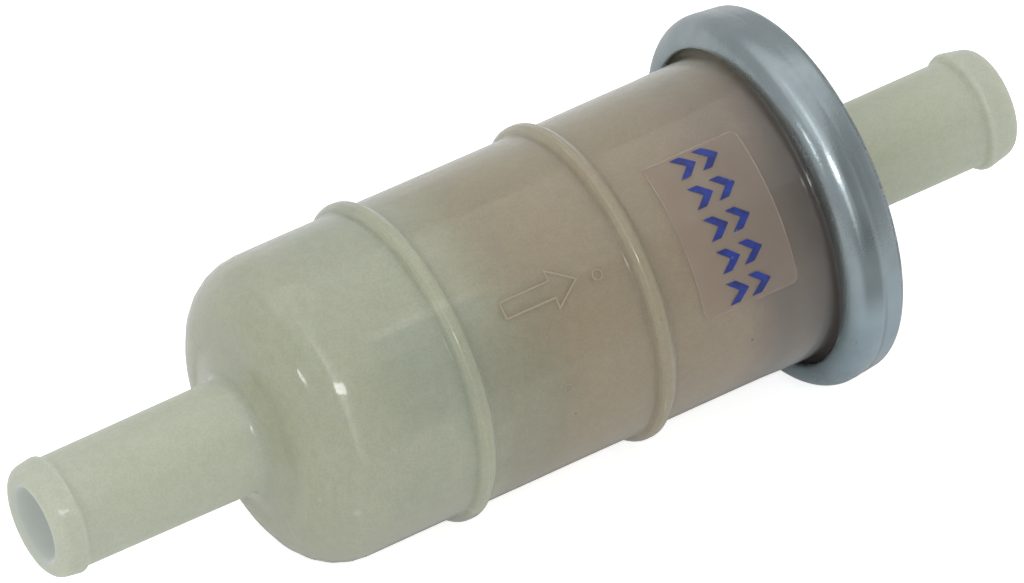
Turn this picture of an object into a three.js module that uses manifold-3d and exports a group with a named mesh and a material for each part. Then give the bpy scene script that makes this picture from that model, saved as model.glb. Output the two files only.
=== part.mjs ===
// In-line fuel filter. A nylon canister with a domed end and an inlet spigot is closed by a nylon
// cover with the outlet spigot. A rolled steel ring clamps the two flanges on an O-ring, and a
// pleated paper element between two end caps sits inside. Fuel enters at -X and leaves at +X.
// Millimetres, +Z up, origin on the flow axis at the middle of the overall length.

import * as THREE from "three";
import { mergeVertices } from "three/addons/utils/BufferGeometryUtils.js";
import Module from "manifold-3d";

// Driving dimensions of the canister and its inlet spigot.
const canisterRadius = 13.9;
const canisterDepth = 52.05; // crown of the dome to the front of the flange
const canisterWall = 1.6;
const shoulderRadius = 5.5;
const domeRise = 0.8; // how far the crown stands out from the start of the shoulder
const mouthFlare = 0.15; // the wall opens this much towards the flange
const mouthFlareLength = 6;
const flangeOverhang = 2.55; // flange beyond the wall
const flangeThickness = 1.68;

const inletSpigotLength = 20;
const outletSpigotLength = 20.75;
const inletRootRadius = 5.1;
const outletRootRadius = 4.85;
const inletDraft = -0.12; // change of radius from the root to the barb
const outletDraft = 0.04;
const boreRadius = 3.3;
const rootFillet = 0.8;
const inletBarbHeight = 0.32;
const outletBarbHeight = 0.58;
const inletBarbLength = 2.35;
const outletBarbLength = 3.05;
const barbHeel = 0.45; // length of the steep face behind each crest
const tipDrop = 0.02; // the tip is this much slimmer than the spigot
const tipRound = 0.8;

// Ribs round the canister, and the raised flow arrow between them.
const secondRibFromFlange = 17.95;
const ribSpacing = 18;
const ribRadius = 0.75;
const arrowFromFirstRib = 4.8; // rib to the tail of the arrow
const arrowLength = 7.55;
const arrowHeadLength = 2.7;
const arrowHeadHalfWidth = 1.95;
const arrowShaftHalfWidth = 0.88;
const arrowLine = 0.3; // width of the raised outline
const arrowHeight = 0.18;
const arrowAngle = 38.8; // degrees from the top towards -Y

// Label.
const labelThickness = 0.12;
const labelGap = 0.05;
const labelWidth = 9.4;
const labelHalfAngle = 30.2;
const labelAngle = 42.5;
const labelFromFlange = 4.3;
const labelCorner = 0.5;

// Rolled ring.
const ringSheet = 0.7;
const ringRollInside = 1.4; // inner radius of the front roll
const ringTaper = 0.25; // the ring is this much slimmer at its rear corner
const ringRearCorner = 0.3; // inner radius of the rear corner
const ringRearLip = 2.6; // width of the flat rear lip
const flangeFillet = 0.9; // between the canister wall and its flange

// Cover.
const coverFlangeThickness = 2.1;
const coverFlangeInset = 0.45; // the cover's flange is slimmer than the canister's
const plugDepth = 1.8; // the rim that enters the canister
const plugWall = 1.4;
const coverWeb = 1.35;
const coverRise = 1.9; // height of the cone round the outlet spigot
const coverConeTopRadius = 7.2;
const coneToLip = 0.4; // gap between the cone's foot and the ring's rear lip
const coverEdgeChamfer = 0.3;
const neckEndGap = 0.4; // free length in the socket past the element's neck
const hubWall = 1.4;

// Element.
const elementLength = 32.9;
const flowGap = 1.1; // free space between the element and the canister wall
const capThickness = 1;
const capRimDepth = 1.1;
const capRimWall = 0.25;
const capChamfer = 0.4;
const glueThickness = 0.5;
const paperThickness = 0.4;
const paperInnerRadius = 5.6;
const pleatCount = 28;
const outerFoldHalfWidth = 0.42;
const innerFoldHalfWidth = 0.36;
const coreWall = 0.8;
const coreClearance = 0.3;
const coreWindowRows = 5;
const coreWindowLength = 3.6;
const coreWindowWidth = 3.8;
const finThickness = 1;
const finLength = 3;
const finRootDepth = 2.2; // how far the fins reach in from the cap's edge
const finOverlap = 0.6; // the fins start inside the cap's thickness
const neckWall = 1;
const neckLength = 4;
const elementToCover = 0.6; // element's open end cap to the cover's plug

// O-rings and fits.
const flangeSealSection = 1.44;
const neckSealSection = 1.2;
const sealClearance = 0.1;
const fitClearance = 0.15;
const facingGap = 0.05;
const bindingClearance = 0.12; // ring to flange

const facets = 40; // flats round every large turned surface
const innerFacets = 24; // flats round the pieces inside

// Places along the flow axis.
const overallLength =
  inletSpigotLength + canisterDepth + flangeThickness + facingGap + coverFlangeThickness + outletSpigotLength;
const inletEnd = -overallLength / 2;
const crown = inletEnd + inletSpigotLength;
const flangeFront = crown + canisterDepth;
const flangeRear = flangeFront + flangeThickness;
const coverFront = flangeRear + facingGap;
const coverRear = coverFront + coverFlangeThickness;
const outletEnd = overallLength / 2;
const plugFront = coverFront - plugDepth;
const openCapFace = plugFront - elementToCover;
const closedCapFace = openCapFace - elementLength;

// Radii that follow from the driving ones.
const chamberRadius = canisterRadius - canisterWall;
const flangeRadius = canisterRadius + flangeOverhang;
const coverFlangeRadius = flangeRadius - coverFlangeInset;
const capRadius = chamberRadius - flowGap;
const paperOuterRadius = capRadius - capRimWall - fitClearance - paperThickness / 2;
const coreRadius = paperInnerRadius - paperThickness / 2 - coreClearance;
const neckBoreRadius = boreRadius - 0.1;
const neckRadius = neckBoreRadius + neckWall;
const hubBoreRadius = neckRadius + neckSealSection + 2 * sealClearance;
const flangeSealRadius = (chamberRadius + flangeRadius) / 2;

const wasm = await Module();
wasm.setup();

const radians = THREE.MathUtils.degToRad;

// A profile is a list of [place along the axis, radius] pairs. This adds a round stretch to it.
function arc(centreX, centreRadius, radius, startDegrees, endDegrees, steps) {
  return Array.from({ length: steps + 1 }, (_, i) => {
    const angle = radians(startDegrees + ((endDegrees - startDegrees) * i) / steps);
    return [centreX + radius * Math.cos(angle), centreRadius + radius * Math.sin(angle)];
  });
}

// Turns a closed profile round the X axis.
function turned(profile, segments = facets) {
  const points = [...profile, profile[0]].map(([x, r]) => new THREE.Vector2(r, x));
  return new THREE.LatheGeometry(points, segments).rotateZ(-Math.PI / 2);
}

// A geometry as a solid that can be joined and cut.
function solidOf(geometry) {
  const bare = geometry.clone();
  bare.deleteAttribute("normal");
  bare.deleteAttribute("uv");
  const merged = mergeVertices(bare, 1e-4);
  const mesh = new wasm.Mesh({
    numProp: 3,
    vertProperties: new Float32Array(merged.attributes.position.array),
    triVerts: new Uint32Array(merged.index.array),
  });
  mesh.merge();
  return new wasm.Manifold(mesh);
}

// A solid as a named mesh.
function pieceOf(name, solid, material) {
  const { vertProperties, triVerts } = solid.getMesh();
  const geometry = new THREE.BufferGeometry();
  geometry.setAttribute("position", new THREE.BufferAttribute(new Float32Array(vertProperties), 3));
  geometry.setIndex(new THREE.BufferAttribute(new Uint32Array(triVerts), 1));
  geometry.computeVertexNormals();
  const mesh = new THREE.Mesh(geometry, material);
  mesh.name = name;
  return mesh;
}

// A box between two corners.
function boxBetween(low, high) {
  const size = high.map((v, i) => v - low[i]);
  const middle = high.map((v, i) => (v + low[i]) / 2);
  return new THREE.BoxGeometry(...size).translate(...middle);
}

// The outside of a spigot from its tip to the end of its straight part, for a tip at x = 0 and a
// root at x = length. The tip is rounded, the barb rises to its crest and drops steeply behind it.
function spigotOutline(length, rootRadius, draft, barbHeight, barbLength) {
  const barbRootRadius = rootRadius + draft;
  const tipRadius = barbRootRadius - tipDrop;
  return [
    ...arc(tipRound, tipRadius - tipRound, tipRound, 180, 90, 3),
    [barbLength, barbRootRadius + barbHeight],
    [barbLength + barbHeel, barbRootRadius],
    [length, rootRadius],
  ];
}

function ribOutline(x) {
  return arc(x, canisterRadius, ribRadius, 180, 0, 4);
}

// The arrow's outline, moved inwards by an even amount, lying along X with its tail at 0.
function arrowOutline(inset) {
  const neck = arrowLength - arrowHeadLength;
  const edge = Math.hypot(arrowHeadLength, arrowHeadHalfWidth);
  const along = [arrowHeadLength / edge, -arrowHeadHalfWidth / edge];
  const inwards = [-arrowHeadHalfWidth / edge, -arrowHeadLength / edge];
  const start = [neck + inset * inwards[0], arrowHeadHalfWidth + inset * inwards[1]];
  const toNeck = (neck + inset - start[0]) / along[0];
  const toTip = -start[1] / along[1];
  const upper = [
    [inset, arrowShaftHalfWidth - inset],
    [neck + inset, arrowShaftHalfWidth - inset],
    [neck + inset, start[1] + toNeck * along[1]],
    [start[0] + toTip * along[0], 0],
  ];
  const lower = upper.slice(0, 3).reverse();
  return [...upper, ...lower.map(([x, y]) => [x, -y])].map(([x, y]) => new THREE.Vector2(x, y));
}

// A flat shape in X and Y, pushed out through the wall at the top and turned round the axis.
function raisedFromWall(shape, degreesFromTop) {
  const depth = 2 * canisterWall;
  return new THREE.ExtrudeGeometry(shape, { depth, bevelEnabled: false, curveSegments: 4 })
    .translate(0, 0, canisterRadius - canisterWall / 2)
    .rotateX(radians(degreesFromTop));
}

function tubeBetween(x0, x1, innerRadius, outerRadius, segments = facets) {
  return turned([[x0, innerRadius], [x0, outerRadius], [x1, outerRadius], [x1, innerRadius]], segments);
}

function canister() {
  const shoulderStart = crown + domeRise;
  const shoulderCentre = shoulderStart + shoulderRadius;
  const faceRadius = canisterRadius - shoulderRadius;
  const flareStart = flangeFront - mouthFlareLength;
  const wallAtFlange = canisterRadius + mouthFlare;
  const nose = ringRollInside - bindingClearance;
  const firstRib = flangeFront - secondRibFromFlange - ribSpacing;
  const spigot = spigotOutline(
    inletSpigotLength - rootFillet, inletRootRadius, inletDraft, inletBarbHeight, inletBarbLength,
  ).map(([x, r]) => [inletEnd + x, r]);
  const outside = [
    ...spigot,
    ...arc(crown - rootFillet, inletRootRadius + rootFillet, rootFillet, 270, 350, 2).slice(1),
    ...arc(shoulderCentre, faceRadius, shoulderRadius, 180, 90, 6),
    ...ribOutline(firstRib),
    ...ribOutline(firstRib + ribSpacing),
    [flareStart, canisterRadius],
    [flangeFront - flangeFillet, wallAtFlange],
    ...arc(flangeFront - flangeFillet, wallAtFlange + flangeFillet, flangeFillet, 300, 360, 2),
    ...arc(flangeFront + nose, flangeRadius - nose, nose, 180, 90, 3),
    [flangeRear, flangeRadius],
  ];
  const groove = flangeSealSection / 2 + sealClearance;
  const seat = [
    [flangeRear, flangeSealRadius + groove],
    [flangeRear - groove, flangeSealRadius + groove],
    [flangeRear - groove, flangeSealRadius - groove],
    [flangeRear, flangeSealRadius - groove],
  ];
  const insideShoulder = shoulderRadius - canisterWall;
  const inside = [
    [flangeRear, chamberRadius],
    ...arc(shoulderCentre, faceRadius, insideShoulder, 90, 180, 4),
    [crown + canisterWall, boreRadius + rootFillet],
    [crown + canisterWall - rootFillet, boreRadius],
    [inletEnd, boreRadius],
  ];
  const shell = solidOf(turned([...outside, ...seat, ...inside]));

  const arrowPlate = (inset) => {
    const shape = new THREE.Shape(arrowOutline(inset));
    return solidOf(raisedFromWall(shape, arrowAngle).translate(firstRib + arrowFromFirstRib, 0, 0));
  };
  const arrow = arrowPlate(0).subtract(arrowPlate(arrowLine));
  const arrowTop = tubeBetween(
    firstRib, firstRib + ribSpacing, canisterRadius - canisterWall / 2, canisterRadius + arrowHeight,
  );
  return shell.add(arrow.intersect(solidOf(arrowTop)));
}

function outletCover() {
  const groove = flangeSealSection / 2 + sealClearance;
  const plugRadius = chamberRadius - fitClearance;
  const coneFoot = coverFlangeRadius - ringRearLip - coneToLip;
  const coneTop = coverRear + coverRise;
  const spigot = spigotOutline(
    outletSpigotLength - coverRise - rootFillet,
    outletRootRadius,
    outletDraft,
    outletBarbHeight,
    outletBarbLength,
  );
  const outside = [
    [plugFront, plugRadius],
    [coverFront, plugRadius],
    [coverFront, flangeSealRadius - groove],
    [coverFront + groove, flangeSealRadius - groove],
    [coverFront + groove, flangeSealRadius + groove],
    [coverFront, flangeSealRadius + groove],
    [coverFront, coverFlangeRadius],
    [coverRear - coverEdgeChamfer, coverFlangeRadius],
    [coverRear, coverFlangeRadius - coverEdgeChamfer],
    [coverRear, coneFoot],
    [coneTop, coverConeTopRadius],
    ...arc(coneTop + rootFillet, outletRootRadius + rootFillet, rootFillet, 200, 270, 2),
    ...spigot.reverse().map(([x, r]) => [outletEnd - x, r]),
  ];
  const socketEnd = coverFront + neckLength - plugDepth - elementToCover + neckEndGap;
  const inside = [
    [outletEnd, boreRadius],
    [socketEnd, boreRadius],
    [socketEnd, hubBoreRadius],
    [plugFront, hubBoreRadius],
    [plugFront, hubBoreRadius + hubWall],
    [coverRear - coverWeb, hubBoreRadius + hubWall],
    [coverRear - coverWeb, plugRadius - plugWall],
    [plugFront, plugRadius - plugWall],
  ];
  return solidOf(turned([...outside, ...inside]));
}

// Sheet steel bent over both flanges: a round roll in front, a slight taper, a flat lip behind.
function crimpRing() {
  const insideRadius = flangeRadius + bindingClearance;
  const rollX = flangeFront + ringRollInside - bindingClearance;
  const rollRadius = insideRadius - ringRollInside;
  const rearX = coverRear + facingGap - ringRearCorner;
  const rearRadius = insideRadius - ringTaper - ringRearCorner;
  const lipRadius = rearRadius - ringRearLip;
  const outer = [
    ...arc(rollX, rollRadius, ringRollInside + ringSheet, 180, 90, 5),
    ...arc(rearX, rearRadius, ringRearCorner + ringSheet, 84, 0, 3),
  ];
  const inner = [
    ...arc(rearX, rearRadius, ringRearCorner, 0, 84, 1),
    ...arc(rollX, rollRadius, ringRollInside, 90, 180, 3),
  ];
  const rearLip = [
    [rearX + ringRearCorner + ringSheet, lipRadius],
    [rearX + ringRearCorner, lipRadius],
  ];
  return solidOf(turned([...outer, ...rearLip, ...inner]));
}

function oRing(centreX, centreRadius, section, segments) {
  return solidOf(turned(arc(centreX, centreRadius, section / 2, 180, -135, 7), segments));
}

// Paper folded into pleats: its outer and inner faces are two closed outlines round the axis.
function filterPaper(x0, x1) {
  const half = paperThickness / 2;
  const loop = (side) => {
    const points = [];
    for (let pleat = 0; pleat < pleatCount; pleat++) {
      const middle = (2 * Math.PI * pleat) / pleatCount;
      const valley = middle + Math.PI / pleatCount;
      const crest = (outerFoldHalfWidth + side * half) / paperOuterRadius;
      const trough = (innerFoldHalfWidth - side * half) / paperInnerRadius;
      points.push([paperOuterRadius + side * half, middle - crest]);
      points.push([paperOuterRadius + side * half, middle + crest]);
      points.push([paperInnerRadius + side * half, valley - trough]);
      points.push([paperInnerRadius + side * half, valley + trough]);
    }
    return points.map(([r, angle]) => new THREE.Vector2(r * Math.cos(angle), r * Math.sin(angle)));
  };
  const shape = new THREE.Shape(loop(1));
  shape.holes.push(new THREE.Path(loop(-1)));
  const sheet = new THREE.ExtrudeGeometry(shape, { depth: x1 - x0, bevelEnabled: false });
  return solidOf(sheet.rotateY(Math.PI / 2).translate(x0, 0, 0));
}

// A perforated tube that keeps the paper from folding inwards.
function supportCore(x0, x1) {
  let core = solidOf(tubeBetween(x0, x1, coreRadius - coreWall, coreRadius, innerFacets));
  const reach = coreRadius + 1;
  const pitch = (x1 - x0) / coreWindowRows;
  for (let row = 0; row < coreWindowRows; row++) {
    const middle = x0 + pitch * (row + 0.5);
    const low = middle - coreWindowLength / 2;
    const high = middle + coreWindowLength / 2;
    const half = coreWindowWidth / 2;
    core = core.subtract(solidOf(boxBetween([low, -half, -reach], [high, half, reach])));
    core = core.subtract(solidOf(boxBetween([low, -reach, -half], [high, reach, half])));
  }
  return core;
}

// The inlet side of the element is closed. Four fins keep it centred in the canister.
function closedEndCap() {
  const rimEnd = closedCapFace + capThickness + capRimDepth;
  let cap = solidOf(
    turned([
      [closedCapFace, 0],
      [closedCapFace, capRadius - capChamfer],
      [closedCapFace + capChamfer, capRadius],
      [rimEnd, capRadius],
      [rimEnd, capRadius - capRimWall],
      [closedCapFace + capThickness, capRadius - capRimWall],
      [closedCapFace + capThickness, 0],
    ], innerFacets),
  );
  const reach = chamberRadius - fitClearance;
  for (let fin = 0; fin < 4; fin++) {
    const blade = boxBetween(
      [closedCapFace - finLength + finOverlap, -finThickness / 2, capRadius - finRootDepth],
      [closedCapFace + finOverlap, finThickness / 2, reach],
    ).rotateX(radians(45 + 90 * fin));
    cap = cap.add(solidOf(blade));
  }
  return cap;
}

// A layer of adhesive that bonds one end of the paper into its cap.
function glueLayer(x) {
  const inner = coreRadius - coreWall;
  const outer = capRadius - capRimWall - fitClearance;
  return solidOf(tubeBetween(x, x + glueThickness, inner, outer, innerFacets));
}

// The outlet side is open: its neck carries the O-ring that seals it in the cover.
function openEndCap() {
  const inner = openCapFace - capThickness;
  return solidOf(
    turned([
      [inner - capRimDepth, capRadius - capRimWall],
      [inner - capRimDepth, capRadius],
      [openCapFace - capChamfer, capRadius],
      [openCapFace, capRadius - capChamfer],
      [openCapFace, neckRadius],
      [openCapFace + neckLength, neckRadius],
      [openCapFace + neckLength, neckBoreRadius],
      [inner, neckBoreRadius],
      [inner, capRadius - capRimWall],
    ], innerFacets),
  );
}

function labelFilm() {
  const high = flangeFront - labelFromFlange;
  const low = high - labelWidth;
  const half = (canisterRadius + labelGap) * Math.sin(radians(labelHalfAngle));
  const outline = new THREE.Shape();
  outline.moveTo(low + labelCorner, -half);
  outline.lineTo(high - labelCorner, -half);
  outline.absarc(high - labelCorner, -half + labelCorner, labelCorner, -Math.PI / 2, 0, false);
  outline.absarc(high - labelCorner, half - labelCorner, labelCorner, 0, Math.PI / 2, false);
  outline.absarc(low + labelCorner, half - labelCorner, labelCorner, Math.PI / 2, Math.PI, false);
  outline.absarc(low + labelCorner, -half + labelCorner, labelCorner, Math.PI, 1.5 * Math.PI, false);
  const cutter = new THREE.ExtrudeGeometry(outline, {
    depth: canisterRadius, bevelEnabled: false, curveSegments: 3,
  });
  cutter.translate(0, 0, canisterRadius / 2).rotateX(radians(labelAngle));
  const inside = canisterRadius + labelGap;
  const flareStart = flangeFront - mouthFlareLength;
  const flareEnd = inside + mouthFlare;
  const film = turned([
    [low - 1, inside],
    [low - 1, inside + labelThickness],
    [flareStart, inside + labelThickness],
    [flangeFront, flareEnd + labelThickness],
    [flangeFront, flareEnd],
    [flareStart, inside],
  ]);
  return solidOf(cutter).intersect(solidOf(film));
}

const finish = (color, roughness, metalness = 0) =>
  new THREE.MeshStandardMaterial({ color, roughness, metalness });
const nylon = finish("#c9cfb4", 0.35);
const zinc = finish("#9aa6ad", 0.32, 1);
const rubber = finish("#1d1d1f", 0.6);
const paper = finish("#b98f7c", 0.9);
const capPlastic = finish("#d9d6c8", 0.5);
const glue = finish("#cbb98e", 0.4);
const film = finish("#e8eadf", 0.15);

const paperStart = closedCapFace + capThickness + glueThickness + 2 * facingGap;
const paperEnd = openCapFace - capThickness - glueThickness - 2 * facingGap;
const closedGlue = closedCapFace + capThickness + facingGap;
const openGlue = openCapFace - capThickness - glueThickness - facingGap;
const flangeSealX = flangeRear + facingGap / 2;
const neckSealX = openCapFace + neckLength * 0.6;
const neckSealRadius = neckRadius + sealClearance + neckSealSection / 2;

const filter = new THREE.Group();
filter.name = "fuel_filter";
filter.add(
  pieceOf("body_shell", canister(), nylon),
  pieceOf("outlet_cover", outletCover(), nylon),
  pieceOf("crimp_ring", crimpRing(), zinc),
  pieceOf("flange_seal", oRing(flangeSealX, flangeSealRadius, flangeSealSection, facets), rubber),
  pieceOf("neck_seal", oRing(neckSealX, neckSealRadius, neckSealSection, innerFacets), rubber),
  pieceOf("filter_paper", filterPaper(paperStart, paperEnd), paper),
  pieceOf("support_core", supportCore(paperStart, paperEnd), capPlastic),
  pieceOf("closed_end_cap", closedEndCap(), capPlastic),
  pieceOf("open_end_cap", openEndCap(), capPlastic),
  pieceOf("closed_end_glue", glueLayer(closedGlue), glue),
  pieceOf("open_end_glue", glueLayer(openGlue), glue),
  pieceOf("label_film", labelFilm(), film),
);

export default filter;
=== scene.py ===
# In-line fuel filter: a nylon canister with a domed inlet end, an outlet cover held on by a rolled
# steel ring, a clear label, and a pleated paper element between two end caps inside.
# Sizes in the dictionaries are in millimetres and degrees; meshes are made in metres. Fuel flows along +X.
# Angles round the axis start at the top (+Z) and grow towards -Y.
import bmesh
import bpy
import numpy as np
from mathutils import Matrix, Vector


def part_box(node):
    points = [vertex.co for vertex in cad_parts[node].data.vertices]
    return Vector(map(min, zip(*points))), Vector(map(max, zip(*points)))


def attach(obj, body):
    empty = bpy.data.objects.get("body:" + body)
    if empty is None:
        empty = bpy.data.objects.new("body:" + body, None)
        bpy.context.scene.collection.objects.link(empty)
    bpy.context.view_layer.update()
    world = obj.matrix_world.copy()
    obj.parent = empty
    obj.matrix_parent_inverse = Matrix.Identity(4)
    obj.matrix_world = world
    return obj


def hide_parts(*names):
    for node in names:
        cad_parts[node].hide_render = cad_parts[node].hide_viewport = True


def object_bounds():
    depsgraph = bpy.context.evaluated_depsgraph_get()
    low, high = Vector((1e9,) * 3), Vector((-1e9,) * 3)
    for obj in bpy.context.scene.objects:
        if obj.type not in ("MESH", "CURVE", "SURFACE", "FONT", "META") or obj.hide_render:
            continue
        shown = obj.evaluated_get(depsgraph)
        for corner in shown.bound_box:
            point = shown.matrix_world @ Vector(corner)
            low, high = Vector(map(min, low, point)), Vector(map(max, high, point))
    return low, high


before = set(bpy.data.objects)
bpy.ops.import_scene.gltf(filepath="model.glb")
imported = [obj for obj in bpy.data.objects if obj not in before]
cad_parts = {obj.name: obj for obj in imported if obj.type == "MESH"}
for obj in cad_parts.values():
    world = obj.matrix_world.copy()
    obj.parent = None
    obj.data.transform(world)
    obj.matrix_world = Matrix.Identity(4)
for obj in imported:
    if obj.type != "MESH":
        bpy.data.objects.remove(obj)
cadLow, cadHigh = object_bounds()
mm = 0.001


def nodeBox(node):  # lowest and highest corner of a CAD node, in millimetres
    low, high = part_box(node)
    return np.array(low) / mm, np.array(high) / mm


shellLow, shellHigh = nodeBox("body_shell")
coverLow, coverHigh = nodeBox("outlet_cover")
ringLow, ringHigh = nodeBox("crimp_ring")
labelLow, labelHigh = nodeBox("label_film")
closedCapLow, closedCapHigh = nodeBox("closed_end_cap")
openCapLow, openCapHigh = nodeBox("open_end_cap")
paperLow, paperHigh = nodeBox("filter_paper")
print("frame loaded,", len(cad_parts), "nodes")

# shapes: profiles, turned surfaces, beads and plates, all as whole arrays


def roundedLoop(corners, arcSteps=6):
    # Rows are (x, r, fillet). Each corner becomes an arc that touches both of its sides: its centre lies
    # on the bisector at fillet / sin(half angle), its ends at fillet / tan(half angle) along the sides.
    rows = np.asarray(corners, float)
    place, fillet = rows[:, :2], rows[:, 2:]
    before, after = np.roll(place, 1, axis=0) - place, np.roll(place, -1, axis=0) - place
    before /= np.linalg.norm(before, axis=1, keepdims=True)
    after /= np.linalg.norm(after, axis=1, keepdims=True)
    half = np.arccos(np.clip((before * after).sum(1, keepdims=True), -0.99999, 0.99999)) / 2
    bisector = before + after
    bisector /= np.linalg.norm(bisector, axis=1, keepdims=True)
    centre = place + bisector * fillet / np.sin(half)
    start = place + before * fillet / np.tan(half) - centre
    end = place + after * fillet / np.tan(half) - centre
    startAngle = np.arctan2(start[:, 1], start[:, 0])[:, None]
    sweep = np.arctan2(end[:, 1], end[:, 0])[:, None] - startAngle
    sweep = (sweep + np.pi) % (2 * np.pi) - np.pi
    angle = startAngle + sweep * np.linspace(0, 1, arcSteps)
    arcs = centre[:, None, :] + fillet[:, None, :] * np.stack([np.cos(angle), np.sin(angle)], axis=-1)
    points = arcs.reshape(-1, 2)
    step = np.linalg.norm(points - np.roll(points, 1, axis=0), axis=1)
    return points[step > 1e-5]


def finerLoop(points, longest):  # puts even points on every stretch longer than the longest step
    following = np.roll(points, -1, axis=0)
    counts = np.maximum(1, np.ceil(np.linalg.norm(following - points, axis=1) / longest)).astype(int)
    index = np.repeat(np.arange(len(points)), counts)
    share = (np.arange(counts.sum()) - np.repeat(np.cumsum(counts) - counts, counts)) / counts[index]
    return points[index] + share[:, None] * (following - points)[index]


def aroundAxis(x, r, angle):  # a point at angle from the top towards -Y, r from the axis
    return np.stack(np.broadcast_arrays(x, -r * np.sin(angle), r * np.cos(angle)), axis=-1)


def turned(profile, steps, wobble=None):
    # Each profile point (x, r) goes round the axis: (x, -r sin a, r cos a). wobble adds to r.
    x, r = profile[:, :1], profile[:, 1:]
    angle = np.linspace(0, 2 * np.pi, steps, endpoint=False)[None, :]
    if wobble is not None:
        r = r + wobble(x, r, angle)
    return aroundAxis(x, r, angle)


def gridFaces(rows, columns, closedRows, closedColumns):  # quads of a grid whose ends may join up
    row = np.arange(rows if closedRows else rows - 1)[:, None]
    column = np.arange(columns if closedColumns else columns - 1)[None, :]
    nextRow, nextColumn = (row + 1) % rows, (column + 1) % columns
    corners = [row * columns + column, row * columns + nextColumn,
               nextRow * columns + nextColumn, nextRow * columns + column]
    return np.stack(np.broadcast_arrays(*corners), axis=-1).reshape(-1, 4)


def plate(outer, inner):
    # Two grids of the same size, face to face, joined all round their borders by one strip of quads.
    rows, columns = outer.shape[:2]
    count = rows * columns
    faces = gridFaces(rows, columns, False, False)
    number = np.arange(count).reshape(rows, columns)
    border = np.concatenate([number[0, :-1], number[:-1, -1], number[-1, :0:-1], number[:0:-1, 0]])
    following = np.roll(border, -1)
    strip = np.stack([border, border + count, following + count, following], axis=-1)
    points = np.concatenate([outer.reshape(-1, 3), inner.reshape(-1, 3)])
    return points, np.concatenate([faces, faces[:, ::-1] + count, strip])


def bead(path, normal, width, height, sectionSteps=10):
    # A flat ellipse carried round a closed path: path + side * width / 2 * cos b + normal * height * sin b.
    # At a corner the side is stretched by 1 / cos(half of the turn).
    ahead = np.roll(path, -1, axis=0) - path
    ahead /= np.linalg.norm(ahead, axis=1, keepdims=True)
    tangent = ahead + np.roll(ahead, 1, axis=0)
    tangent /= np.linalg.norm(tangent, axis=1, keepdims=True)
    stretch = 1 / np.maximum(0.4, (tangent * ahead).sum(1, keepdims=True))
    side = np.cross(tangent, normal) * stretch
    angle = np.linspace(0, 2 * np.pi, sectionSteps, endpoint=False)[None, :, None]
    across = side[:, None, :] * (width / 2) * np.cos(angle)
    upwards = normal[:, None, :] * height * np.sin(angle)
    return path[:, None, :] + across + upwards, gridFaces(len(path), sectionSteps, True, True)


def turnedMesh(profile, steps, wobble=None):  # a closed profile turned all the way round, with its faces
    return turned(profile, steps, wobble), gridFaces(len(profile), steps, True, True)


def joined(parts):  # several closed shells as one mesh
    points, faces, count = [], [], 0
    for somePoints, someFaces in parts:
        points.append(somePoints.reshape(-1, 3))
        faces.append(outwards(points[-1], someFaces) + count)
        count += len(points[-1])
    return np.concatenate(points), np.concatenate(faces)


def outwards(points, faces):  # turns the faces round if the volume they enclose comes out negative
    a, b, c, d = (points[faces[:, i]] for i in range(4))
    volume = (np.cross(a, b) * c).sum() + (np.cross(a, c) * d).sum()
    return faces if volume > 0 else faces[:, ::-1]


def addObject(name, data):
    added = bpy.data.objects.new(name, data)
    bpy.context.scene.collection.objects.link(added)
    return added


def makePiece(name, points, faces, material, slot, replaced=(), sharp=38):
    points = points.reshape(-1, 3)
    faces = outwards(points, faces)
    mesh = bpy.data.meshes.new(name)
    mesh.from_pydata((points * mm).tolist(), [], faces.tolist())
    mesh.polygons.foreach_set("use_smooth", np.ones(len(faces), bool))
    mesh.set_sharp_from_angle(angle=np.radians(sharp))
    mesh.materials.append(material)
    piece = addObject(name, mesh)
    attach(piece, "root")
    if replaced:
        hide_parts(*replaced)
    return piece


def closePoles(piece, distance=0.002):  # merges the points that meet on the axis or at a tapered end
    work = bmesh.new()
    work.from_mesh(piece.data)
    bmesh.ops.remove_doubles(work, verts=work.verts, dist=distance * mm)
    work.to_mesh(piece.data)
    work.free()


# shader groups that several materials share


def startGroup(name, inputs, outputs):
    group = bpy.data.node_groups.new(name, "ShaderNodeTree")
    for label, kind, value in inputs:
        socket = group.interface.new_socket(name=label, in_out="INPUT", socket_type=kind)
        if value is not None:
            socket.default_value = value
    for label, kind in outputs:
        group.interface.new_socket(name=label, in_out="OUTPUT", socket_type=kind)
    return group, group.nodes.new("NodeGroupInput"), group.nodes.new("NodeGroupOutput")


def feed(tree, node, **inputs):
    # An input is a number, a colour or another node's socket. i0, i1 and so on are inputs by their number,
    # and underscores in a name stand for spaces.
    for key, value in inputs.items():
        key = key.replace("_", " ")
        socket = node.inputs[int(key[1:])] if key[0] == "i" and key[1:].isdigit() else node.inputs[key]
        if isinstance(value, bpy.types.NodeSocket):
            tree.links.new(value, socket)
        else:
            socket.default_value = value


def addNode(tree, kind, settings=None, **inputs):
    node = tree.nodes.new("ShaderNode" + kind)
    for key, value in (settings or {}).items():
        setattr(node, key, value)
    feed(tree, node, **inputs)
    return node


def maths(tree, operation, first, second=0.0, third=0.0):
    return addNode(tree, "Math", {"operation": operation}, i0=first, i1=second, i2=third).outputs[0]


def vectorMaths(tree, operation, output=0, **inputs):
    return addNode(tree, "VectorMath", {"operation": operation}, **inputs).outputs[output]


def smoothStep(tree, value, low, high, start=0.0, end=1.0):
    settings = {"interpolation_type": "SMOOTHSTEP"}
    node = addNode(tree, "MapRange", settings, Value=value, From_Min=low, From_Max=high,
                   To_Min=start, To_Max=end)
    return node.outputs["Result"]


def mixColours(tree, share, first, second):
    return addNode(tree, "Mix", {"data_type": "RGBA"}, i0=share, i6=first, i7=second).outputs[2]


def times(tree, first, second):
    return maths(tree, "MULTIPLY", first, second)


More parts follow.
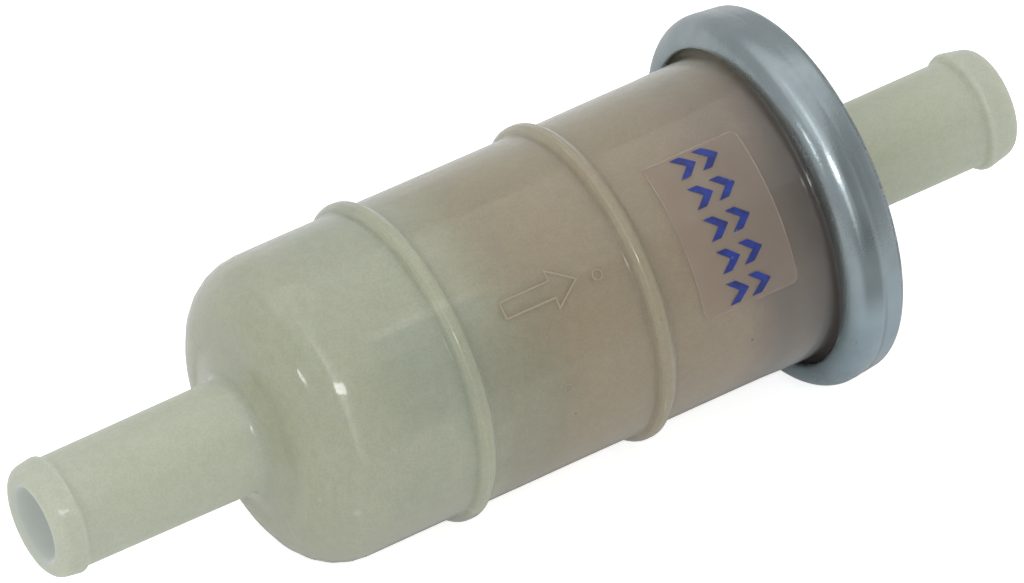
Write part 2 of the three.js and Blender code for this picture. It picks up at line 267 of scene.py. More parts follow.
def between(tree, value, low, high, soft):  # 1 between low and high, falling to 0 over soft on either side
    rise = smoothStep(tree, value, low - soft, low)
    return times(tree, rise, smoothStep(tree, value, high, high + soft, 1.0, 0.0))


def layered(tree, look, colour, *layers):  # lays each layer's colour over the one before, by its share
    for share, name in layers:
        colour = mixColours(tree, share, colour, look[name])
    return colour


def distanceFrom(tree, value, middle):
    return maths(tree, "ABSOLUTE", maths(tree, "SUBTRACT", value, middle))


def turnOf(tree, axes):  # angle round the axis in radians, 0 at the top, growing towards -Y
    return maths(tree, "ARCTAN2", times(tree, axes.outputs["Y"], -1.0), axes.outputs["Z"])


def makeSoftClouds():  # slow, soft variation between 0 and 1
    group, given, out = startGroup(
        "softClouds",
        [("Vector", "NodeSocketVector", None), ("Scale", "NodeSocketFloat", 100.0)],
        [("Value", "NodeSocketFloat")],
    )
    noise = addNode(group, "TexNoise", Vector=given.outputs["Vector"], Scale=given.outputs["Scale"],
                    Detail=3.0, Roughness=0.5)
    group.links.new(smoothStep(group, noise.outputs["Fac"], 0.32, 0.68), out.inputs["Value"])
    return group


def makeFineGrain():  # fine even grain: one coarse and one fine noise added up
    group, given, out = startGroup(
        "fineGrain",
        [("Vector", "NodeSocketVector", None), ("Scale", "NodeSocketFloat", 2000.0),
         ("Coarse Share", "NodeSocketFloat", 0.4)],
        [("Height", "NodeSocketFloat")],
    )
    vector, scale = given.outputs["Vector"], given.outputs["Scale"]
    fine = addNode(group, "TexNoise", Vector=vector, Scale=scale, Detail=2.0)
    coarse = addNode(group, "TexNoise", Vector=vector, Scale=times(group, scale, 0.21), Detail=2.0)
    lifted = times(group, coarse.outputs["Fac"], given.outputs["Coarse Share"])
    group.links.new(maths(group, "ADD", fine.outputs["Fac"], lifted), out.inputs["Height"])
    return group


def makeDustSpecks():  # small round specks, thinned out by a second noise
    group, given, out = startGroup(
        "dustSpecks",
        [("Vector", "NodeSocketVector", None), ("Scale", "NodeSocketFloat", 300.0),
         ("Size", "NodeSocketFloat", 0.08), ("Thinning", "NodeSocketFloat", 0.6)],
        [("Mask", "NodeSocketFloat")],
    )
    cells = addNode(group, "TexVoronoi", Vector=given.outputs["Vector"], Scale=given.outputs["Scale"])
    dot = maths(group, "LESS_THAN", cells.outputs["Distance"], given.outputs["Size"])
    tone = addNode(group, "SeparateColor", Color=cells.outputs["Color"])
    kept = maths(group, "GREATER_THAN", tone.outputs["Red"], given.outputs["Thinning"])
    group.links.new(times(group, dot, kept), out.inputs["Mask"])
    return group


def makeHairlines():  # thin scuffs along one direction of the vector, in loose patches
    group, given, out = startGroup(
        "hairlines",
        [("Vector", "NodeSocketVector", None), ("Stretch", "NodeSocketVector", (1.0, 1.0, 1.0)),
         ("Scale", "NodeSocketFloat", 900.0), ("Patches", "NodeSocketFloat", 150.0)],
        [("Mask", "NodeSocketFloat")],
    )
    drawn = vectorMaths(group, "MULTIPLY", i0=given.outputs["Vector"], i1=given.outputs["Stretch"])
    lines = addNode(group, "TexNoise", Vector=drawn, Scale=given.outputs["Scale"],
                    Detail=2.0, Roughness=0.6)
    patch = addNode(group, "TexNoise", Vector=given.outputs["Vector"], Scale=given.outputs["Patches"],
                    Detail=1.0)
    sharpLines = smoothStep(group, lines.outputs["Fac"], 0.60, 0.72)
    loose = smoothStep(group, patch.outputs["Fac"], 0.50, 0.64)
    group.links.new(times(group, sharpLines, loose), out.inputs["Mask"])
    return group


softClouds, fineGrain = makeSoftClouds(), makeFineGrain()
dustSpecks, hairlines = makeDustSpecks(), makeHairlines()
print("shader groups built")


def placeGroup(tree, group, **inputs):
    node = tree.nodes.new("ShaderNodeGroup")
    node.node_tree = group
    feed(tree, node, **inputs)
    return node.outputs[0]


def startMaterial(name, **inputs):
    material = bpy.data.materials.new(name)
    material.use_nodes = True
    tree = material.node_tree
    shader = tree.nodes["Principled BSDF"]
    feed(tree, shader, **inputs)
    place = tree.nodes.new("ShaderNodeTexCoord").outputs["Object"]
    return material, tree, shader, place


def addBump(tree, shader, height, strength, distance):
    bump = addNode(tree, "Bump", Height=height, Strength=strength, Distance=distance * mm)
    feed(tree, shader, Normal=bump.outputs["Normal"])


def linear(red, green, blue):  # a screen colour of 0 to 255 as the shader's linear colour
    share = np.array([red, green, blue]) / 255
    value = np.where(share <= 0.04045, share / 12.92, ((share + 0.055) / 1.055) ** 2.4)
    return (*map(float, value), 1.0)


# nylon: one finish for the canister and the cover, tinted where the element shows through

nylonLook = dict(
    clear=linear(184, 188, 166), cloud=linear(179, 184, 161), crown=linear(184, 188, 161),
    spigot=linear(184, 188, 171), outlet=linear(168, 172, 154), tip=linear(184, 190, 180),
    tint=linear(166, 154, 130), deepTint=linear(158, 143, 125), shaded=linear(121, 112, 103),
    flangeShade=linear(84, 79, 76), window=linear(167, 175, 158), ribShade=linear(150, 151, 132),
    line=linear(172, 160, 140), bore=linear(128, 134, 126), speck=linear(92, 94, 84),
    pale=linear(212, 216, 204), boreGlow=(0.26, 0.282, 0.272, 1), boreDeep=(0.06, 0.065, 0.06, 1),
    spigotGlow=(0.07, 0.076, 0.06, 1),
    roughness=0.3, cloudRoughness=0.08, grainDepth=0.04, grainScale=2200.0, cloudScale=130.0,
    # place along the axis, angle, distance from the axis, radius and strength of a pale spot
    spots=[(-26.9, 85.8, 11.0, 0.35, 0.3), (-24.6, 90.1, 13.3, 0.6, 0.35)],
    scratch=((-5.3, -3.5), (-8.1, -7.2)),  # its two ends as (y, z)
)
# Where each tone begins and ends: low, high, and the shares at both, or low, high and softness for a strip.
nylonZones = dict(
    crown=(-3.0, -0.4), spigot=(-0.9, 0.9), coat=(-1.0, 3.0, 1.0, 0.3),  # outwards from the crown
    tip=(39.0, 48.0, 0.0, 0.5), mouth=(37.0, 45.5),  # from the middle, both ways
    cover=(24.5, 25.5), outlet=(30.0, 46.0, 0.8, 0.15), windows=(-17.0, -10.0, 4.5), element=(-13.0, -2.5),
    deep=(0.0, 22.0), shaded=(13.5, 19.5), ribShade=(-8.0, -5.0, 3.2), byFlange=(22.8, 24.6, 3.6),
    dome=(-25.0, -24.0, 1.0, 0.0), rib=(0.35, 1.0, 1.0, 0.0),
    # by the angle round the axis
    shadedTop=(8.0, 42.0, 0.4, 1.0), shadedUnder=(130.0, 178.0, 1.0, 0.4), low=(62.0, 130.0, 30.0),
    shownTop=(-50.0, 12.0, 0.62, 1.0), shownUnder=(95.0, 178.0, 1.0, 0.62),
    flangeTop=(-40.0, 20.0), flangeUnder=(130.0, 178.0, 0.62, 0.0),
    # by the distance from the axis or from the scratch, and by the grain's height
    bore=(3.35 * mm, 4.0 * mm, 1.0, 0.0), scratch=(0.03 * mm, 0.09 * mm, 0.5, 0.0),
    mottle=(0.6, 0.9, 0.0, 0.12),
)
window = dict(
    middle=49.0, half=20.0, every=90.0, share=0.52, upperSoft=3.0, lowerSoft=(-9.0, 2.0),
    edge=(0.4, 2.4, 0.22, 0.0),
)


def nearLine(tree, place, start, end):  # distance from a line across the axis, seen along the axis
    start, end = np.array([0, *start]) * mm, np.array([0, *end]) * mm
    length = np.linalg.norm(end - start)
    ahead = (end - start) / length
    flat = vectorMaths(tree, "MULTIPLY", i0=place, i1=(0, 1, 1))
    away = vectorMaths(tree, "SUBTRACT", i0=flat, i1=start)
    run = vectorMaths(tree, "DOT_PRODUCT", "Value", i0=away, i1=ahead)
    run = maths(tree, "MAXIMUM", maths(tree, "MINIMUM", run, length), 0.0)
    foot = vectorMaths(tree, "SCALE", i0=ahead, Scale=run)
    return vectorMaths(tree, "DISTANCE", "Value", i0=away, i1=foot)


# Painted light: the wall is paler and bluer where light comes through the gaps between the element's fins,
# with a painted highlight along each gap's upper edge.
def windowLayers(tree, angle, along):  # the gaps between the element's fins, each with a paler upper edge
    half, (lowerStart, lowerEnd) = window["half"], window["lowerSoft"]
    offset = maths(tree, "SUBTRACT", angle, window["middle"])
    fromWindow = maths(tree, "WRAP", offset, window["every"] / 2, -window["every"] / 2)
    upper = smoothStep(tree, fromWindow, -half, window["upperSoft"] - half)
    lower = smoothStep(tree, fromWindow, half + lowerStart, half + lowerEnd, 1.0, 0.0)
    reach = between(tree, along, *nylonZones["windows"])
    edge = smoothStep(tree, distanceFrom(tree, fromWindow, -half - 0.5), *window["edge"])
    share = times(tree, times(tree, upper, lower), times(tree, reach, window["share"]))
    return (share, "window"), (times(tree, edge, reach), "pale")


def elementLayers(tree, clouds, angle, along, colour):
    # The element's tint, with painted shadow behind the front rib and painted shade in front of the flange.
    look, zones = nylonLook, nylonZones
    wander = maths(tree, "MULTIPLY_ADD", clouds, 1.4, along)
    inside = mixColours(tree, smoothStep(tree, wander, *zones["deep"]), look["tint"], look["deepTint"])
    shade = smoothStep(tree, wander, *zones["shaded"])
    for zone in ("shadedTop", "shadedUnder"):
        shade = times(tree, shade, smoothStep(tree, angle, *zones[zone]))
    inside = mixColours(tree, shade, inside, look["shaded"])
    tinted = smoothStep(tree, wander, *zones["element"])
    shown = maths(tree, "SUBTRACT", tinted, smoothStep(tree, along, *zones["cover"]))
    for zone in ("shownTop", "shownUnder"):
        shown = times(tree, shown, smoothStep(tree, angle, *zones[zone]))
    low = maths(tree, "MULTIPLY_ADD", between(tree, angle, *zones["low"]), 0.34, 0.16)
    behind = times(tree, between(tree, wander, *zones["ribShade"]), low)
    byFlange = between(tree, along, *zones["byFlange"])
    for zone in ("flangeTop", "flangeUnder"):
        byFlange = times(tree, byFlange, smoothStep(tree, angle, *zones[zone]))
    colour = mixColours(tree, shown, colour, inside)
    return layered(tree, look, colour, (behind, "ribShade"), (byFlange, "flangeShade"))


def wearLayers(tree, place, axes, turn, fromAxis, along, onRib):
    # Streaks round the ribs, pale spots, one scratch on the dome, specks and a fine mottle.
    look, zones = nylonLook, nylonZones
    rolled = addNode(tree, "CombineXYZ", X=axes.outputs["X"], Y=times(tree, turn, canister["radius"] * mm),
                     Z=fromAxis)
    streaks = placeGroup(tree, hairlines, Vector=rolled.outputs[0], Stretch=(1.0, 0.035, 1.0), Scale=5200.0,
                         Patches=170.0)
    layers = [(times(tree, streaks, times(tree, onRib, 0.32)), "pale")]
    for x, angle, radius, size, strength in look["spots"]:
        spot = aroundAxis(x, radius, np.radians(angle)) * mm
        away = vectorMaths(tree, "DISTANCE", "Value", i0=place, i1=spot)
        layers.append((smoothStep(tree, away, 0.3 * size * mm, size * mm, strength, 0.0), "pale"))
    scratched = smoothStep(tree, nearLine(tree, place, *look["scratch"]), *zones["scratch"])
    layers.append((times(tree, scratched, smoothStep(tree, along, *zones["dome"])), "pale"))
    specks = placeGroup(tree, dustSpecks, Vector=place, Scale=330.0, Size=0.05, Thinning=0.78)
    mottle = placeGroup(tree, fineGrain, Vector=place, Scale=5600.0, Coarse_Share=0.5)
    mottled = smoothStep(tree, mottle, *zones["mottle"])
    return layers + [(times(tree, specks, 0.6), "speck"), (mottled, "speck")]


def makeNylon():
    look, zones = nylonLook, nylonZones
    material, tree, shader, place = startMaterial(
        "nylonTranslucent", IOR=1.5, Subsurface_Weight=1.0, Subsurface_Scale=4.0 * mm,
        Subsurface_Radius=(1.0, 0.95, 0.75), Coat_Weight=1.0, Coat_Roughness=0.04, Specular_IOR_Level=0.3,
        Emission_Strength=1.0)
    shader.subsurface_method = "RANDOM_WALK"
    axes = addNode(tree, "SeparateXYZ", Vector=place)
    along = maths(tree, "DIVIDE", axes.outputs["X"], mm)
    turn = turnOf(tree, axes)
    angle = times(tree, turn, 180 / np.pi)
    squares = [maths(tree, "POWER", axes.outputs[axis], 2.0) for axis in "YZ"]
    fromAxis = maths(tree, "SQRT", maths(tree, "ADD", *squares))
    fromMiddle = maths(tree, "ABSOLUTE", along)
    fromCrown = maths(tree, "ADD", fromMiddle, crown)
    clouds = placeGroup(tree, softClouds, Vector=place, Scale=look["cloudScale"])

    # the clear ends, then what shows through the wall, then wear, then the bore
    onSpigot = smoothStep(tree, fromCrown, *zones["spigot"])
    onCover = smoothStep(tree, along, *zones["cover"])
    onOutlet = times(tree, onCover, smoothStep(tree, along, *zones["outlet"]))
    onCrown, onTip = smoothStep(tree, fromCrown, *zones["crown"]), smoothStep(tree, fromMiddle, *zones["tip"])
    colour = layered(
        tree, look, look["clear"], (clouds, "cloud"), (onCrown, "crown"), (onSpigot, "spigot"),
        (onOutlet, "outlet"), (onTip, "tip"), *windowLayers(tree, angle, along))
    colour = elementLayers(tree, clouds, angle, along, colour)
    nearRib = maths(tree, "MINIMUM", *[distanceFrom(tree, along, x) for x in ribPlaces])
    onRib = smoothStep(tree, nearRib, *zones["rib"])
    inBore = smoothStep(tree, fromAxis, *zones["bore"])
    # painted shade darkens the ribs a little
    colour = layered(
        tree, look, colour, (times(tree, onRib, 0.24), "ribShade"),
        *wearLayers(tree, place, axes, turn, fromAxis, along, onRib), (inBore, "bore"))
    # painted light: the spigots glow a little and each bore glows, most at its mouth, in place of light
    # passing through the nylon; the bore's darker base colour is painted shade
    atMouth = smoothStep(tree, fromMiddle, *zones["mouth"])
    mouth = mixColours(tree, atMouth, look["boreDeep"], look["boreGlow"])
    glow = mixColours(tree, onSpigot, (0, 0, 0, 1), look["spigotGlow"])
    feed(tree, shader, Base_Color=colour, Emission_Color=mixColours(tree, inBore, glow, mouth),
         Roughness=maths(tree, "MULTIPLY_ADD", clouds, look["cloudRoughness"], look["roughness"]),
         Coat_Weight=smoothStep(tree, fromCrown, *zones["coat"]))
    grain = placeGroup(tree, fineGrain, Vector=place, Scale=look["grainScale"], Coarse_Share=0.8)
    addBump(tree, shader, grain, 0.35, look["grainDepth"])
    return material


# canister: spigot, dome, ribs, flange with its seal groove, and the chamber inside

canister = dict(
    spigotLength=20.0, spigotRoot=5.1, barbRoot=4.98, tip=4.96, tipRound=1.1, barbCrest=5.32, crestRound=0.6,
    barbLength=2.35, barbHeel=0.45, bore=3.3, boreRound=0.5, rootFillet=1.1, faceEdge=7.9, domeRise=0.76,
    shoulder=5.45, radius=13.9, wall=1.6, ribFromFlange=(35.95, 17.95), ribHalf=0.75, ribHeight=0.75,
    flareFromFlange=6.0, flare=0.15, flangeThickness=1.68, flangeRadius=16.45, flangeFillet=0.9,
    nose=1.28, sealRadius=14.375, groove=0.82, wobble=0.035, steps=192, longest=1.3,
)
shellFront, shellRear = shellLow[0], shellHigh[0]
crown = shellFront + canister["spigotLength"]
flangeFront = shellRear - canister["flangeThickness"]
ribPlaces = [flangeFront - distance for distance in canister["ribFromFlange"]]


def ribCorners(x, radius):  # a rounded bead on the wall, as corners that the fillets smooth
    half, height = canister["ribHalf"], canister["ribHeight"]
    shape = [(-1.25, 0, 0.42), (-0.9, 0.62, 0.32), (-0.4, 1.0, 0.4), (0.4, 1.0, 0.4), (0.9, 0.62, 0.32),
             (1.25, 0, 0.42)]
    return [(x + half * along, radius + height * up, fillet) for along, up, fillet in shape]


def canisterProfile():
    c = canister
    chamber = c["radius"] - c["wall"]
    dome = crown + c["domeRise"]
    return roundedLoop([
        (shellFront, c["bore"], c["boreRound"]),
        (shellFront, c["tip"], c["tipRound"]),
        (shellFront + c["barbLength"], c["barbCrest"], c["crestRound"]),
        (shellFront + c["barbLength"] + c["barbHeel"], c["barbRoot"], c["crestRound"]),
        (crown, c["spigotRoot"], c["rootFillet"]),
        (dome, c["faceEdge"], 4.0),
        (dome, c["radius"], c["shoulder"]),
        *ribCorners(ribPlaces[0], c["radius"]),
        *ribCorners(ribPlaces[1], c["radius"]),
        (flangeFront - c["flareFromFlange"], c["radius"], 20.0),
        (flangeFront, c["radius"] + c["flare"], c["flangeFillet"]),
        (flangeFront, c["flangeRadius"], c["nose"]),
        (shellRear, c["flangeRadius"], 0.1),
        (shellRear, c["sealRadius"] + c["groove"], 0.08),
        (shellRear - c["groove"], c["sealRadius"] + c["groove"], 0.2),
        (shellRear - c["groove"], c["sealRadius"] - c["groove"], 0.2),
        (shellRear, c["sealRadius"] - c["groove"], 0.08),
        (shellRear, chamber, 0.1),
        (dome + c["wall"], chamber, c["shoulder"] - c["wall"]),
        (crown + c["wall"], c["bore"], 0.8),
    ], arcSteps=8)


def mouldedWobble(x, r, angle):  # slow unevenness of a moulded wall: three long waves added up
    waves = np.sin(2 * angle + 0.16 * x) + 0.6 * np.sin(3 * angle - 0.23 * x + 1.0)
    waves = waves + 0.4 * np.sin(5 * angle + 0.4 * x)
    outer = np.clip((r - 9.0) / 4.0, 0, 1)  # none on the spigot, all of it on the wall
    return canister["wobble"] * waves * outer / 2


def makeRaisedNylon():  # thin raised lines catch the light and look paler than the wall under them
    material, tree, shader, place = startMaterial("nylonRaised", Specular_IOR_Level=0.3)
    clouds = placeGroup(tree, softClouds, Vector=place, Scale=700.0)
    lineColour = mixColours(tree, times(tree, clouds, 0.8), nylonLook["line"], nylonLook["tint"])
    feed(tree, shader, Base_Color=lineColour, Roughness=maths(tree, "MULTIPLY_ADD", clouds, 0.15, 0.5))
    grain = placeGroup(tree, fineGrain, Vector=place, Scale=nylonLook["grainScale"], Coarse_Share=0.8)
    addBump(tree, shader, grain, 0.3, nylonLook["grainDepth"])
    return material


nylon, raisedNylon = makeNylon(), makeRaisedNylon()
profile = finerLoop(canisterProfile(), canister["longest"])
shellMesh = turnedMesh(profile, canister["steps"], mouldedWobble)
makePiece("canister_shell", *shellMesh, nylon, "nylon", ["body_shell"])
print("canister made,", len(profile), "profile points")

# raised arrow and mould marks: beads that follow the wall

arrow = dict(
    fromRib=4.8, angle=38.8, length=7.55, head=2.7, headHalf=1.95, shaftHalf=0.88,
    line=0.24, height=0.1, sunk=0.055,
)
marks = dict(
    rings=[(1.85, 40.5, 0.45), (-3.74, 74.5, 0.4)],  # place along the axis, angle and radius
    width=0.15, height=0.075, sunk=0.035,
)


def onWall(flat, angleFromTop, sunk):  # lays flat rows (x, y) on the wall: y becomes an arc round the axis
    radius, x = canister["radius"], flat[:, 0]
    angle = np.radians(angleFromTop) + flat[:, 1] / radius
    path = aroundAxis(x, radius + mouldedWobble(x, radius, angle) - sunk, angle)
    return path, aroundAxis(0 * x, 1.0, angle)


def arrowPath():
    inset = arrow["line"] / 2
    neck = arrow["length"] - arrow["head"]
    half = [(0, arrow["shaftHalf"]), (neck, arrow["shaftHalf"]), (neck, arrow["headHalf"]),
            (arrow["length"], 0)]
    corners = np.array(half + [(x, -y) for x, y in half[2::-1]], float)
    ahead = np.roll(corners, -1, axis=0) - corners
    ahead /= np.linalg.norm(ahead, axis=1, keepdims=True)
    inwards = np.stack([ahead[:, 1], -ahead[:, 0]], axis=-1)
    earlier = np.roll(inwards, 1, axis=0)
    corners = corners + inset * (inwards + earlier) / (1 + (inwards * earlier).sum(1, keepdims=True))
    return finerLoop(corners, 0.35) + [ribPlaces[0] + arrow["fromRib"], 0]


path, normal = onWall(arrowPath(), arrow["angle"], arrow["sunk"])
parts = [bead(path, normal, arrow["line"], arrow["height"])]
for x, angleFromTop, radius in marks["rings"]:
    turn = np.linspace(0, 2 * np.pi, 40, endpoint=False)
    flat = np.stack([x + radius * np.cos(turn), radius * np.sin(turn)], axis=-1)
    path, normal = onWall(flat, angleFromTop, marks["sunk"])
    parts.append(bead(path, normal, marks["width"], marks["height"]))
makePiece("flow_arrow", *joined(parts), raisedNylon, "nylon")
print("arrow and mould marks made")

# outlet cover

cover = dict(
    plugRadius=12.15, plugWall=1.4, flangeRadius=16.0, flangeThickness=2.1, plugDepth=1.8, coneFoot=13.0,
    coneTop=7.2, coneRise=1.9, rootRadius=4.85, barbRoot=4.89, barbCrest=5.5, barbLength=3.05, barbHeel=0.45,
    crestRound=0.6, tip=4.87, tipRound=1.15, rootFillet=0.8, hubBore=5.6, hubWall=1.4, socketEnd=2.0,
    web=1.35, longest=1.3, steps=160,
)


def coverProfile():
    c, s = cover, canister
    front = coverLow[0] + c["plugDepth"]
    rear, end = front + c["flangeThickness"], coverHigh[0]
    seal, groove = s["sealRadius"], s["groove"]
    return roundedLoop([
        (coverLow[0], c["plugRadius"], 0.2),
        (front, c["plugRadius"], 0.05),
        (front, seal - groove, 0.08),
        (front + groove, seal - groove, 0.2),
        (front + groove, seal + groove, 0.2),
        (front, seal + groove, 0.08),
        (front, c["flangeRadius"], 0.1),
        (rear, c["flangeRadius"], 0.3),
        (rear, c["coneFoot"], 0.3),
        (rear + c["coneRise"], c["coneTop"], 0.5),
        (rear + c["coneRise"], c["rootRadius"], c["rootFillet"]),
        (end - c["barbLength"] - c["barbHeel"], c["barbRoot"], c["crestRound"]),
        (end - c["barbLength"], c["barbCrest"], c["crestRound"]),
        (end, c["tip"], c["tipRound"]),
        (end, s["bore"], s["boreRound"]),
        (front + c["socketEnd"], s["bore"], 0.2),
        (front + c["socketEnd"], c["hubBore"], 0.1),
        (coverLow[0], c["hubBore"], 0.2),
        (coverLow[0], c["hubBore"] + c["hubWall"], 0.2),
        (rear - c["web"], c["hubBore"] + c["hubWall"], 0.25),
        (rear - c["web"], c["plugRadius"] - c["plugWall"], 0.25),
        (coverLow[0], c["plugRadius"] - c["plugWall"], 0.2),
    ])


profile = finerLoop(coverProfile(), cover["longest"])
makePiece("cover_outlet", *turnedMesh(profile, cover["steps"]), nylon, "nylon", ["outlet_cover"])
print("cover made")

# rolled steel ring

ring = dict(
    sheet=0.7, roll=2.1, valley=0.09, valleyHalf=0.26, valleyFromRoll=1.05, bandRadius=17.06,
    bandFromRoll=1.95, rearCorner=1.0, rearRadius=16.02, lip=2.6, dent=0.025, steps=256,
    roughness=0.2, cloudRoughness=0.07, blotchRoughness=0.03,
    base=linear(171, 183, 187), dark=linear(140, 153, 158), low=linear(171, 192, 203),
    bright=linear(220, 228, 231), darkSpeckle=linear(84, 88, 86), rollShade=linear(104, 114, 116),
    # low, high and softness by the angle or along the axis
    lowAngles=(110.0, 130.0, 50.0), rollShadeAngles=(64.0, 78.0, 14.0), rollShadeFrom=(24.3, 25.5, 0.6),
    # low, high and the shares at both: painted shade in the valley, its angle, speckled dark line at the rear
    # edge
    creaseShade=(0.04, 0.26, 0.6, 0.0), creaseAngle=(1.15, 1.75), rearEdge=0.35, rearLine=(0.08, 0.3, 0.6, 0.0),
)


def ringProfile():
    # The outside line runs over the roll, the band and the rear corner. The inside is the same line moved
    # in by the sheet's thickness along its normals.
    c = ring
    crest, front, rear = ringHigh[2], ringLow[0], ringHigh[0]
    rollX, rollRadius = front + c["roll"], crest - c["roll"]
    turn = np.radians(np.linspace(188, 92, 26))
    roll = np.stack([np.cos(turn), np.sin(turn)], axis=-1) * c["roll"] + [rollX, rollRadius]
    bandX = np.linspace(0.15, 1, 18)[:, None] * c["bandFromRoll"]
    slope = (c["bandRadius"] - crest) * (bandX / c["bandFromRoll"]) ** 1.3
    band = np.concatenate([rollX + bandX, crest + slope], axis=1)
    turn = np.radians(np.linspace(78, 0, 14))
    cornerX, cornerRadius = rear - c["rearCorner"], c["rearRadius"]
    corner = np.stack([np.cos(turn), np.sin(turn)], axis=-1) * c["rearCorner"] + [cornerX, cornerRadius]
    lip = np.stack([np.full(9, rear), np.linspace(cornerRadius - 0.3, cornerRadius - c["lip"], 9)], axis=-1)
    outside = np.concatenate([roll, band, corner, lip])
    along = np.gradient(outside, axis=0)
    along /= np.linalg.norm(along, axis=1, keepdims=True)
    inward = np.stack([along[:, 1], -along[:, 0]], axis=-1)
    inside = outside + c["sheet"] * inward
    edgeTurn = np.linspace(0, np.pi, 7)[1:-1, None]
    half = c["sheet"] / 2

    def edge(point, direction, outward):  # the rounded edge of the sheet at one end of the line
        middle = point + half * direction
        return middle - half * np.cos(edgeTurn) * direction + half * 0.5 * np.sin(edgeTurn) * outward

    rearEdge = edge(outside[-1], inward[-1], along[-1])
    frontEdge = edge(outside[0], inward[0], -along[0])
    return np.concatenate([outside, rearEdge, inside[::-1], frontEdge[::-1]])


def rolledWobble(x, r, angle):
    # Shallow unevenness left by the rolling tool, always inwards, and a valley behind the roll that is
    # deepest underneath: depth * (0.15 + 0.85 * (1 - cos(angle)) / 2) * exp(-(distance / half width)^2).
    waves = 0.5 * np.sin(4 * angle + 0.4) + 0.3 * np.sin(7 * angle + x) + 0.2 * np.sin(13 * angle)
    fromValley = (x - ringLow[0] - ring["roll"] - ring["valleyFromRoll"]) / ring["valleyHalf"]
    depth = ring["valley"] * (0.15 + 0.85 * (1 - np.cos(angle)) / 2)
    return -ring["dent"] * (0.5 + 0.5 * waves) - depth * np.exp(-fromValley ** 2)


def makeZinc():
    material, tree, shader, place = startMaterial("zincSteel", Metallic=1.0)
    axes = addNode(tree, "SeparateXYZ", Vector=place)
    along = maths(tree, "DIVIDE", axes.outputs["X"], mm)
    clouds = placeGroup(tree, softClouds, Vector=place, Scale=160.0)
    blotches = placeGroup(tree, softClouds, Vector=place, Scale=900.0)
    grain = placeGroup(tree, fineGrain, Vector=place, Scale=5200.0, Coarse_Share=0.5)
    scuffs = placeGroup(tree, hairlines, Vector=place, Stretch=(3.0, 0.6, 0.6), Scale=2600.0, Patches=330.0)
    turn = turnOf(tree, axes)
    degrees = times(tree, turn, 180 / np.pi)
    # painted shade along the valley behind the roll, on the lower half
    lowSide = smoothStep(tree, maths(tree, "ABSOLUTE", turn), *ring["creaseAngle"])
    fromCrease = distanceFrom(tree, along, ringLow[0] + ring["roll"] + ring["valleyFromRoll"])
    creaseShade = times(tree, smoothStep(tree, fromCrease, *ring["creaseShade"]), lowSide)
    # a speckled dark line along the rear edge
    rearLine = smoothStep(tree, distanceFrom(tree, along, ringHigh[0] - ring["rearEdge"]), *ring["rearLine"])
    speckledLine = times(tree, rearLine, smoothStep(tree, grain, 0.66, 0.8))
    # painted shade: a darker band on the front roll, part way down its -Y side
    darkened = times(tree, between(tree, degrees, *ring["rollShadeAngles"]), between(tree, along, *ring["rollShadeFrom"]))
    # painted light: the ring is lighter and bluer low down on the -Y side
    tone = layered(
        tree, ring, ring["base"], (between(tree, degrees, *ring["lowAngles"]), "low"),
        (times(tree, clouds, 0.4), "dark"), (times(tree, blotches, 0.1), "dark"), (creaseShade, "dark"),
        (speckledLine, "darkSpeckle"), (times(tree, scuffs, 0.06), "bright"), (times(tree, darkened, 0.6), "rollShade"))
    rough = maths(tree, "MULTIPLY_ADD", clouds, ring["cloudRoughness"], ring["roughness"])
    rough = maths(tree, "MULTIPLY_ADD", blotches, ring["blotchRoughness"], rough)
    feed(tree, shader, Base_Color=tone, Roughness=rough)
    addBump(tree, shader, maths(tree, "MULTIPLY_ADD", scuffs, 0.15, grain), 0.6, 0.02)
    return material


ringMesh = turnedMesh(ringProfile(), ring["steps"], rolledWobble)
makePiece("ring_crimped", *ringMesh, makeZinc(), "zinc_steel", ["crimp_ring"], sharp=50)
print("ring made")

# label: a clear film with a printed row of flow marks

label = dict(
    angle=42.5, halfAngle=30.2, corner=0.7, thickness=0.06, lift=0.03, edge=0.2,
    marks=5, markAngles=(18.0, 66.5), markStart=2.65, markLength=4.4, markHalf=1.0, arm=0.95, markGap=0.12,
    ink=0.03, blue=linear(42, 62, 150), blueDark=linear(34, 46, 112), blueSpeck=linear(110, 112, 150),
    film=linear(184, 166, 152), filmCloud=linear(190, 174, 160), rim=linear(206, 202, 188),
    rimShares=(0.42, 0.14), alpha=0.2, rimAlpha=(0.85, 0.1),  # at the label's two sides; patchy and even part
)
labelStart, labelEnd = labelLow[0], labelHigh[0]


def wallRadius(x, angle):  # the canister's wall, with its unevenness and its slight flare by the flange
    radius, flareStart = canister["radius"], flangeFront - canister["flareFromFlange"]
    flare = np.interp(x, [flareStart, flangeFront], [0, canister["flare"]])
    return radius + mouldedWobble(x, radius, angle) + flare


def labelGrid(height):
    # Rows run across the label. Near its ends a row is shortened by the corner's circle:
    # half length = full half - corner + sqrt(corner^2 - depth^2).
    reach = canister["radius"] + label["lift"]
    halfWide = reach * np.radians(label["halfAngle"])
    halfLong = (labelEnd - labelStart) / 2
    corner = label["corner"]
    easing = np.linspace(0, np.pi / 2, 7)
    ends = halfWide - corner + corner * np.sin(easing)
    across = np.concatenate([-ends[::-1], np.linspace(-1, 1, 60)[1:-1] * (halfWide - corner), ends])[:, None]
    depth = np.maximum(0, np.abs(across) - (halfWide - corner))
    half = halfLong - corner + np.sqrt(np.maximum(0, corner ** 2 - depth ** 2))
    x = (labelStart + labelEnd) / 2 + half * np.linspace(-1, 1, 50)[None, :]
    angle = np.radians(label["angle"]) + across / reach
    return aroundAxis(x, wallRadius(x, angle) + height, angle)


